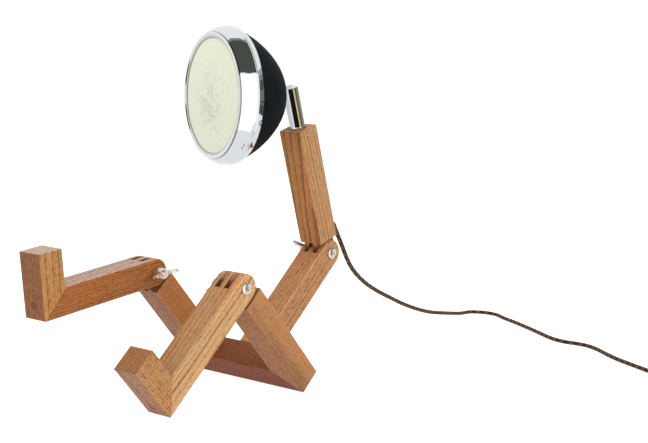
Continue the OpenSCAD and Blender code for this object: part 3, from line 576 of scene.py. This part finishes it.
# ---------------------------------------------------------------- timber
GX = Matrix(((0, 0, 1, 0), (0, 1, 0, 0), (-1, 0, 0, 0), (0, 0, 0, 1)))     # local z -> +x of the outer frame
GY = Matrix(((1, 0, 0, 0), (0, 0, 1, 0), (0, -1, 0, 0), (0, 0, 0, 1)))     # local z -> +y of the outer frame
L_SHIN, R_SHIN = in_shin(1), in_shin(-1)
# the faces tables are painted light, shade and sheen per face direction, given as colour multipliers
assign(wood("wood_left_shin", L_SHIN, 3, theta=152, pith=90, ring=4.3, pores=0.7, drift=0.004, light=(206, 158, 108), dark=(112, 64, 30), contrast=1.0, wander=4.4,
            faces={"+x": (1.204, 1.335, 1.393), "+y": (1.131, 1.119, 1.065)}), "left_shin")
assign(wood("wood_left_foot", L_SHIN @ T(0, 26.5, SHIN - HD) @ GY, 5, theta=80, pith=70, ring=3.0, drift=0.02, light=(184, 132, 90), dark=(104, 62, 36), contrast=0.45, dash=3.0, pores=1.0,
            frame_of=L_SHIN, faces={"+x": (1.211, 1.368, 1.238), "+y": (1.125, 1.042, 0.764), "+z": (1.374, 1.445, 1.634)}), "left_foot")
assign(wood("wood_right_shin", R_SHIN, 11, theta=70, pith=120, ring=3.2, drift=-0.01, light=(186, 130, 86), dark=(112, 66, 36), contrast=0.5, pores=1.0, dash=3.4,
            faces={"+x": (0.983, 0.799, 0.457), "+y": (1.461, 2.254, 4.226)}), "right_shin")
assign(wood("wood_right_foot", R_SHIN @ T(0, 26.5, SHIN - HD) @ GY, 13, theta=20, pith=80, ring=2.8, drift=0.0, light=(172, 116, 74), dark=(88, 50, 28), contrast=0.45, pores=1.0, dash=3.0,
            frame_of=R_SHIN, faces={"+x": (1.507, 1.77, 1.473), "+y": (2.011, 3.424, 6.008), "+z": (1.144, 1.146, 1.035)}), "right_foot")
assign(wood("wood_left_thigh", IN_FRAME @ T(HALF - HW, 0, 0), 17, theta=3, pith=150, ring=3.5, stripes=(4.8, 0.42), drift=0.004, light=(186, 134, 92), dark=(92, 54, 40), contrast=1.0, wander=1.0,
            finger_end_shade=(THIGH - 14.5, THIGH - 12.5, THIGH, -1.0, 0.0), faces={"+x": (1.13, 1.117, 0.967), "-y": (1.272, 1.126, 0.893)}), "left_thigh")
assign(wood("wood_right_thigh", IN_FRAME @ T(-HALF + HW, 0, 0), 19, theta=-4, pith=150, ring=3.5, stripes=(4.8, 0.42), drift=0.004, light=(184, 130, 86), dark=(96, 56, 38), contrast=1.0, wander=1.2,
            finger_end_shade=(THIGH - 14.5, THIGH - 12.5, THIGH, -0.814, 0.581), faces={"+x": (1.123, 0.983, 0.664), "-y": (1.191, 1.232, 1.449)}), "right_thigh")
assign(wood("wood_crossbar", IN_FRAME @ T(0, 0, HW) @ GX, 23, theta=60, pith=110, ring=3.2, drift=0.006, light=(160, 104, 70), dark=(84, 46, 28), contrast=0.6, pores=0.9, arris=(16, 15),
            frame_of=IN_FRAME, faces={"-y": (1.05, 0.623, 0.224), "+z": (0.995, 0.76, 0.408)}), "crossbar")
assign(wood("wood_spine", IN_SPINE, 29, theta=140, pith=140, ring=3.6, drift=0.01, light=(184, 130, 90), dark=(104, 62, 38), contrast=0.75, pores=1.0, wander=2.0,
            faces={"+x": (1.283, 1.451, 1.348), "-y": (1.699, 1.765, 1.499)}), "spine")
assign(wood("wood_neck", IN_NECK, 31, theta=115, pith=45, ring=5.2, drift=0.03, light=(188, 136, 94), dark=(96, 56, 34), contrast=0.85, pores=0.8, wander=5.0,
            finger_end_shade=(14.5, 12.5, 0.0, -0.914, -0.407), faces={"+x": (1.205, 1.426, 1.391), "-y": (1.589, 1.43, 0.887), "+z": (1.54, 1.52, 1.39)}), "neck_beam")
assign(wood("wood_plug", IN_FRAME, 41, ring=2.5, light=(140, 92, 60), dark=(104, 64, 40), contrast=0.6, arris=None), "frame_plugs")
assign(wood("wood_plug_left", L_SHIN @ GY, 43, ring=2.2, light=(178, 140, 112), dark=(140, 104, 80), contrast=0.6, arris=None), "left_foot_plug")
assign(wood("wood_plug_right", R_SHIN @ GY, 47, ring=2.2, light=(150, 100, 56), dark=(104, 64, 34), contrast=0.6, arris=None), "right_foot_plug")
assign(wood("wood_dowel", IN_SPINE, 53, ring=2.4, light=(214, 184, 138), dark=(190, 156, 112), contrast=0.4, arris=None), "spine_dowels")

# ---------------------------------------------------------------- metal, plastic and rubber
CHROME = chrome("chrome_polished")
NICKEL = chrome("nickel_plated", tint=(228, 214, 203), rough=0.2, wear=0.12)
assign(NICKEL, "waist_bolt", "waist_washer", "waist_wing_nut", "left_knee_bolt", "left_knee_washer", "left_wing_nut", "right_knee_bolt", "right_knee_washer", "right_wing_nut")
assign(CHROME, "post", "post_cap", "ball_stud", "rim_band", "bezel_ring", "socket_cap")
assign(brushed("bright_steel"), "frame_screws", "left_foot_screw", "right_foot_screw", "retaining_ring", "head_screws", "spring_washer", "socket_body", "plug_pins")
assign(plastic("white_moulding", (226, 226, 220), 0.4), "ball_seat", "led_board", "led_driver")
assign(brushed("cast_collar", (186, 172, 166), 0.25), "post_bush")
assign(plastic("black_rubber", (26, 26, 26), 0.7, grain=0.4, bump=0.2), "lens_gasket")
assign(plastic("cord_relief", (44, 30, 20), 0.55, grain=0.5, bump=0.2), "cord_grip")
assign(plastic("inner_sleeve", (130, 96, 54), 0.6), "inner_cord")
assign(plastic("wire_sleeve", (196, 84, 50), 0.4), "post_leads", "head_leads")
SHELL = plastic("shell_paint", (13, 17, 20), 0.62, grain=0.9, bump=0.06, tone=0.2, spec=0.03)
assign(SHELL, "head_shell")
LENS = Mat("lens_plastic")
p = LENS.object_mm(IN_HEAD)
lens_drop_shading = LENS.t.nodes.new("ShaderNodeAttribute")
lens_drop_shading.attribute_name = "lens_drop_shading"
rs = LENS.node("SeparateColor", i0=lens_drop_shading.outputs["Color"]).outputs
slow = LENS.noise(LENS.vmul(p, (1 / 22,) * 3), 1.0, 2.0, 0.5)
fine = LENS.noise(LENS.vmul(p, (1 / 1.4,) * 3), 1.0, 2.0, 0.5)
c = LENS.mix(LENS.span(slow, 0.35, 0.7), (0.600, 0.630, 0.475, 1), (0.585, 0.606, 0.468, 1))
# painted light on one flank of each drop and painted shade on the other, read from the attribute's first two channels;
# the third adds a yellow tint
c = LENS.mix(rs[0], c, (0.92, 0.92, 0.86, 1))
c = LENS.mix(rs[1], c, (0.34, 0.36, 0.26, 1))
c = LENS.mix(rs[2], c, (0.60, 0.64, 0.36, 1))
lx = LENS.node("SeparateXYZ", i0=p).outputs
reach = LENS.math("SQRT", LENS.math("ADD", LENS.math("MULTIPLY", lx[0], lx[0]), LENS.math("MULTIPLY", lx[1], lx[1])))
# a near-black ring at the lens edge under the bezel: painted shadow of the gap
c = LENS.mix(LENS.span(reach, 63.0, 63.5, smooth=True), c, (0.05, 0.052, 0.044, 1))
LENS.finish(color=c, rough=LENS.math("MULTIPLY_ADD", fine, 0.15, 0.28), normal=LENS.bump(fine, 0.1, 0.0001), spec=0.4)
assign(LENS.m, "lens")
assign(brushed("bright_reflector", (226, 228, 230), 0.12), "reflector")
assign(brushed("cast_aluminium", (150, 152, 156), 0.4), "heat_sink")
assign(plastic("phosphor", (246, 214, 90), 0.4), "led_chips")
assign(plastic("black_moulding", (28, 27, 26), 0.42, grain=0.35, bump=0.15), "coil_tie", "switch_base", "switch_cover", "plug_body")
assign(brushed("plain_brass", (196, 160, 84), 0.28), "switch_contacts")
assign(plastic("cream_rocker", (206, 196, 176), 0.3, grain=1.2, bump=0.03), "switch_rocker")

# ---------------------------------------------------------------- head, turned finely
FACE = 75.86
SHELL_LINE = [(-6.35, 10.6), (-6.1, 12.4), (-5.2, 17.3), (-3.2, 24.3), (-1.2, 29.5), (0.8, 33.6), (3.3, 37.5), (5.8, 40.8), (8.8, 44.3), (11.8, 47.5), (15.3, 50.9),
              (18.8, 54.1), (22.8, 57.4), (26.8, 60.4), (30.8, 63.2), (34.8, 65.7), (38.8, 68), (42.8, 70.2), (46.8, 72.3), (51, 74.3)]


def shown_as(o, material, node, body):
    o.data.materials.append(material)
    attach(o, body)
    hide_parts(node)
    return o


outer = [(r, z) for z, r in catmull(SHELL_LINE, 5)]
inner = []
for k, (r, z) in enumerate(outer):
    a, b = outer[max(k - 1, 0)], outer[min(k + 1, len(outer) - 1)]
    t = Vector((b[0] - a[0], b[1] - a[1])).normalized()
    inner.append((max(r - 1.2 * t.y, 10.6), z + 1.2 * t.x))
shell = lathe("head_shell_spun", outer + [(74.3, 55.5), (73.1, 55.5)] + inner[::-1], IN_HEAD, 256, sharp=35)
shown_as(shell, SHELL, "head_shell", "head")

crown = catmull([(70.2, FACE - 0.7), (71.4, FACE - 2.2), (73.2, FACE - 4.6), (74.8, FACE - 7.6), (75.8, FACE - 10.4), (76.2, FACE - 13.6), (76.2, FACE - 16.6)], 5)
hollow = catmull([(74.35, FACE - 24.8), (74.35, FACE - 20), (74.35, FACE - 15.5), (74, FACE - 10.6), (72.8, FACE - 7.4), (71.2, FACE - 5), (69.4, FACE - 3.2), (68.8, FACE - 2.6)], 3)
rim = lathe("rim_band_spun", [(68.8, FACE - 0.6)] + crown + [(75.9, FACE - 17), (75.7, FACE - 17.3), (76.2, FACE - 17.6), (76.65, FACE - 18)]
            + catmull([(76.8, FACE - 18.6), (76.4, FACE - 20.6), (75.9, FACE - 22.6), (75.4, FACE - 24.3)], 4) + [(75, FACE - 24.8)] + hollow, IN_HEAD, 320, sharp=24)
shown_as(rim, CHROME, "rim_band", "head")

bezel = lathe("bezel_ring_spun", [(63.9, FACE - 0.1)] + catmull([(63.75, FACE + 0.3), (64.2, FACE + 0.6), (65.6, FACE + 0.8), (67.2, FACE + 1.15), (68.3, FACE + 1.35), (69.2, FACE + 1.1),
              (69.9, FACE + 0.4), (70.2, FACE - 0.65)], 5) + [(68.75, FACE - 0.55), (67.4, FACE - 0.1), (66.9, FACE - 1.2), (66.9, FACE - 3.4), (66.4, FACE - 3.4), (66.4, FACE - 0.1)],
              IN_HEAD, 256, sharp=40)
shown_as(bezel, chrome("chrome_bezel", local=IN_HEAD, seam=69.65), "bezel_ring", "head")

# Lens: a low dome with many small raised drops, longer than wide and standing upright
LENS_R = (63.9 ** 2 + 16) / 8


def hashed(i, j, k):
    v = sin(i * 127.1 + j * 311.7 + k * 74.7) * 43758.5453
    return v - math.floor(v)


drops = {}
PX, PY = 2.7, 4.2
for i in range(-24, 25):
    for j in range(-16, 17):
        x = (i + 0.5 * (j % 2) + 0.7 * (hashed(i, j, 1) - 0.5)) * PX
        y = (j + 0.9 * (hashed(i, j, 2) - 0.5)) * PY
        d = math.hypot(x, y)
        if d > 61.5:
            continue
        near = math.exp(-((x - 3) ** 2 + (y + 12) ** 2) / (2 * 26.0 ** 2))
        if hashed(i, j, 3) > 0.3 + 0.62 * near:
            continue
        lean_d = 0.5 * (hashed(i, j, 4) - 0.5)
        hx = 0.7 + 0.35 * hashed(i, j, 5)
        hy = 1.6 + 1.7 * hashed(i, j, 6)
        high = (0.2 + 0.34 * hashed(i, j, 7)) * (0.2 + 0.9 * near)
        drops.setdefault((int(x // 4), int(y // 4)), []).append((x, y, hx, hy, lean_d, high))


def drop_at(x, y):
    h = 0.0
    cx, cy = int(x // 4), int(y // 4)
    for a in (cx - 1, cx, cx + 1):
        for b in (cy - 1, cy, cy + 1):
            for (dx, dy, hx, hy, ln, high) in drops.get((a, b), ()):
                v = y - dy
                u = x - dx - ln * v
                q = (u / hx) ** 2 + (v / hy) ** 2
                if q < 1:
                    h = max(h, high * (1 - q) ** 1.2)
    return h


verts, faces, drop_shading_and_tint = [], [], []
RINGS, SEGS = 190, 560
M_HEAD = SCALE @ IN_HEAD
for i in range(RINGS + 1):
    r = 66.0 * i / RINGS
    for k in range(SEGS if i else 1):
        a = 2 * pi * k / SEGS
        x, y = r * cos(a), r * sin(a)
        h = drop_at(x, y)
        dl = h - drop_at(x + 0.35, y)
        z = FACE - 0.25 + 4 - LENS_R + math.sqrt(LENS_R ** 2 - r * r) + h
        verts.append(M_HEAD @ Vector((x, y, z)))
        yellow = math.exp(-((x - 21) ** 2 + (y - 53) ** 2) / (2 * 4.0 ** 2))
        # first two channels: painted light and painted shade on the drop flanks, from the slope along x; third: a
        # yellow tint near one spot
        drop_shading_and_tint.append((min(max(-dl * 10, 0), 1), min(max(dl * 10, 0), 1), 0.6 * yellow, 1.0))
for k in range(SEGS):
    faces.append((0, 1 + k, 1 + (k + 1) % SEGS))
for i in range(1, RINGS):
    a, b = 1 + (i - 1) * SEGS, 1 + i * SEGS
    for k in range(SEGS):
        k2 = (k + 1) % SEGS
        faces.append((a + k, b + k, b + k2, a + k2))
edge = 1 + (RINGS - 1) * SEGS
for r, z in ((66.3, FACE - 0.4), (66.3, FACE - 3.2)):
    base = len(verts)
    for k in range(SEGS):
        a = 2 * pi * k / SEGS
        verts.append(M_HEAD @ Vector((r * cos(a), r * sin(a), z)))
        drop_shading_and_tint.append((0, 0, 0, 1))
    for k in range(SEGS):
        k2 = (k + 1) % SEGS
        faces.append((edge + k, base + k, base + k2, edge + k2))
    edge = base
faces.append(tuple(edge + k for k in range(SEGS - 1, -1, -1)))
lens = mesh_object("lens_moulded", verts, faces)
sharpen(lens.data, 50)
att = lens.data.attributes.new("lens_drop_shading", "FLOAT_COLOR", "POINT")
att.data.foreach_set("color", [c for q in drop_shading_and_tint for c in q])
shown_as(lens, LENS.m, "lens", "head")

# ---------------------------------------------------------------- floor, light and surroundings
me = bpy.data.meshes.new("floor")
S = 14.0
me.from_pydata([(-S, -S, 0), (S, -S, 0), (S, S, 0), (-S, S, 0)], [], [(0, 1, 2, 3)])
floor = new_object("floor", me)
floor.location.z = -0.0006
m = Mat("floor_white")
p = m.object_mm()
a = m.noise(m.vmul(p, (1 / 400,) * 3), 1.0, 2.0, 0.5)
m.finish(color=m.mix(a, (0.42, 0.42, 0.42, 1), (0.38, 0.38, 0.38, 1)), rough=0.6, spec=0.1, Emission_Color=(1, 1, 1, 1), Emission_Strength=0.9)
me.materials.append(m.m)
floor.visible_glossy = False

w = bpy.data.worlds.new("studio")
scene.world = w
w.use_nodes = True
w.node_tree.nodes["Background"].inputs[0].default_value = (1.0, 1.0, 1.0, 1)
w.node_tree.nodes["Background"].inputs[1].default_value = 1.0
scene.view_settings.view_transform = "Standard"
scene.view_settings.look = "None"
scene.view_settings.exposure = 0
scene.view_settings.gamma = 1

MID = Vector((0.0, 0.0, 0.2))


def direction(az, el):
    az, el = radians(az), radians(el)
    return Vector((sin(az) * cos(el), -cos(az) * cos(el), sin(el)))


def softbox(name, az, el, dist, sx, sy, watts, color=(1, 1, 1)):
    d = bpy.data.lights.new(name, "AREA")
    d.shape = "RECTANGLE"
    d.size, d.size_y, d.energy, d.color = sx, sy, watts, color
    o = new_object(name, d)
    o.location = MID + direction(az, el) * dist
    o.rotation_mode = "QUATERNION"
    o.rotation_quaternion = direction(az, el).to_track_quat("Z", "Y")
    o.visible_glossy = False
    o.visible_camera = False
    return o


def patch(name, corners, value, centre, dist=3.2, about=MID):
    """A board that only polished surfaces see: its outline is given in directions (azimuth, elevation) from a point."""
    verts = [about + direction(*centre) * dist] + [about + direction(*c) * dist for c in corners]
    n = len(corners)
    me = bpy.data.meshes.new(name)
    me.from_pydata([tuple(v) for v in verts], [], [(0, 1 + k, 1 + (k + 1) % n) for k in range(n)])
    o = new_object(name, me)
    m = Mat(name)
    m.t.nodes.remove(m.b)
    e = m.t.nodes.new("ShaderNodeEmission")
    e.inputs[0].default_value = tuple(value) + (1,)
    m.t.links.new(e.outputs[0], m.out.inputs[0])
    me.materials.append(m.m)
    o.visible_camera = o.visible_diffuse = o.visible_shadow = o.visible_transmission = o.visible_volume_scatter = False
    return o


def screen(name, az, el, value, dist, about=MID, steps=(16, 10)):
    """A curved board that only polished surfaces see, over a range of azimuths and elevations."""
    verts = [about + direction(az[0] + (az[1] - az[0]) * i / steps[0], el[0] + (el[1] - el[0]) * j / steps[1]) * dist
             for i in range(steps[0] + 1) for j in range(steps[1] + 1)]
    k = steps[1] + 1
    faces = [(i * k + j, i * k + j + 1, (i + 1) * k + j + 1, (i + 1) * k + j) for i in range(steps[0]) for j in range(steps[1])]
    o = patch(name, [(0, 0), (1, 0), (0, 1)], value, (0, 0), dist, about)
    o.data.clear_geometry()
    o.data.from_pydata([tuple(v) for v in verts], [], faces)
    return o


def sleeve(name, az, height, value, radius, steps=24):
    """A board bent round the post, seen by polished surfaces only. Its azimuths turn about the post's own axis."""
    axis = IN_POST.to_3x3().col[2].normalized()
    verts, faces = [], []
    for k in range(steps + 1):
        a = radians(az[0] + (az[1] - az[0]) * k / steps)
        d = Vector((sin(a), -cos(a), 0))
        d = (d - axis * d.dot(axis)).normalized()
        verts += [(IN_POST.translation + axis * h + d * radius) * MM for h in height]
    faces = [(2 * k, 2 * k + 1, 2 * k + 3, 2 * k + 2) for k in range(steps)]
    o = patch(name, [(0, 0), (1, 0), (0, 1)], value, (0, 0))
    o.data.clear_geometry()
    o.data.from_pydata([tuple(v) for v in verts], [], faces)
    return o


softbox("key_right", 95, 22, 2.6, 1.6, 1.6, 60)
softbox("overhead", 30, 78, 2.8, 2.2, 2.2, 45)
HEAD_C = IN_BALL @ Vector((0, 0, 0)) * MM
patch("card_ceiling", [(12, 31), (30, 34.5), (50, 36.5), (70, 38), (90, 38.5), (108, 37), (125, 45), (150, 55), (-172, 60), (-156, 70), (-97, 75.5), (-79, 70), (-69, 60), (-60, 54),
                       (-50, 49), (-32, 46), (-13, 39), (0, 34)], (0.078, 0.088, 0.074), (45, 70), 3.4)
patch("card_window", [(13, 30), (30, 33.5), (50, 35.5), (70, 37), (90, 37.5), (106, 36), (109, 20), (109, 0), (110, -20), (108, -50), (90, -54), (75, -55), (50, -54), (32, -52), (18, -49), (7, -47),
                      (10, -20), (12, 0), (12, 20)], (1.36, 1.36, 1.37), (60, 0), 3.3)
for k, (low, high, value) in enumerate(((29, 35, 0.42), (23, 29, 0.25), (12, 23, 0.10), (-1, 12, 0.19), (-2.5, -1, 0.05), (-6, -2.5, 0.17), (-17, -6, 0.075))):
    screen("card_back_%d" % k, (109, 179), (low, high), (value, value, value * 0.93), 3.2, MID, (14, 2))
screen("card_floor", (-180, 180), (-89, -1), (0.93, 0.945, 0.955), 3.8, MID, (36, 12))
LOW = IN_HEAD @ Vector((0, -76, FACE - 17)) * MM
plate = patch("card_under_head", [(0, 0), (1, 0), (0, 1)], (0.93, 0.945, 0.955), (0, 0))
plate.data.clear_geometry()
plate.data.from_pydata([(LOW.x + 0.06 * cos(2 * pi * k / 48), LOW.y + 0.06 * sin(2 * pi * k / 48), LOW.z - 0.003) for k in range(48)]
                       + [(0.032 + 0.026 * cos(2 * pi * k / 48), -0.008 + 0.026 * sin(2 * pi * k / 48), LOW.z - 0.0035) for k in range(48)],
                       [], [tuple(range(48)), tuple(range(48, 96))])
screen("card_brown", (130, 190), (-75, -25), (0.30, 0.105, 0.04), 0.010, Vector((0.034, 0.021, 0.264)), (6, 4))
sky = patch("card_sky", [(0, 0), (1, 0), (0, 1)], (0.24, 0.26, 0.24), (0, 0))
EDGE = (((-172, 60), (178, 64)), ((-156, 70), (-168, 74)), ((-97, 75.5), (-80, 80)), ((-79, 70), (-62, 72)), ((-69, 60), (-58, 62)), ((-60, 54), (-53, 56)))
sky.data.clear_geometry()
sky.data.from_pydata([tuple(MID + direction(*c) * 3.1) for pair in EDGE for c in pair], [], [(2 * k, 2 * k + 1, 2 * k + 3, 2 * k + 2) for k in range(len(EDGE) - 1)])
screen("card_waist_nut", (-70, 25), (5, 60), (0.95, 0.93, 0.90), 0.05, (WAIST + Vector((-HW - 14, 0, 0))) * MM, (6, 6))
screen("card_line_low", (-66, -57), (-12, -3.2), (0.05, 0.05, 0.05), 3.1)
screen("card_line_high", (-66, -57), (0.6, 7), (0.07, 0.07, 0.07), 3.1)
for name, spot in (("knee", IN_FRAME @ Vector((HALF, 0, THIGH))), ("waist", WAIST + Vector((HW, 0, 0))), ("nut", IN_FRAME @ Vector((-HALF + 2 * HW + 16, 0, THIGH)))):
    screen("card_bolt_" + name, (126, 172), (-26, 20), (1.05, 1.03, 1.0), 0.04, spot * MM, (6, 6))
sleeve("card_post_pale", (-150, 3), (1.6, 56), (0.70, 0.72, 0.72), 13)
sleeve("card_post_light", (3, 16.5), (1.6, 56), (0.93, 0.93, 0.92), 13)
sleeve("card_flag", (16.5, 62.5), (1.6, 56), (0.012, 0.010, 0.009), 13)
sleeve("card_gold", (62.5, 78.5), (1.6, 56), (0.86, 0.66, 0.36), 13)
sleeve("card_olive", (78.5, 100), (1.6, 56), (0.145, 0.12, 0.06), 13)
sleeve("card_edge", (100, 140), (1.6, 56), (0.26, 0.28, 0.25), 13)
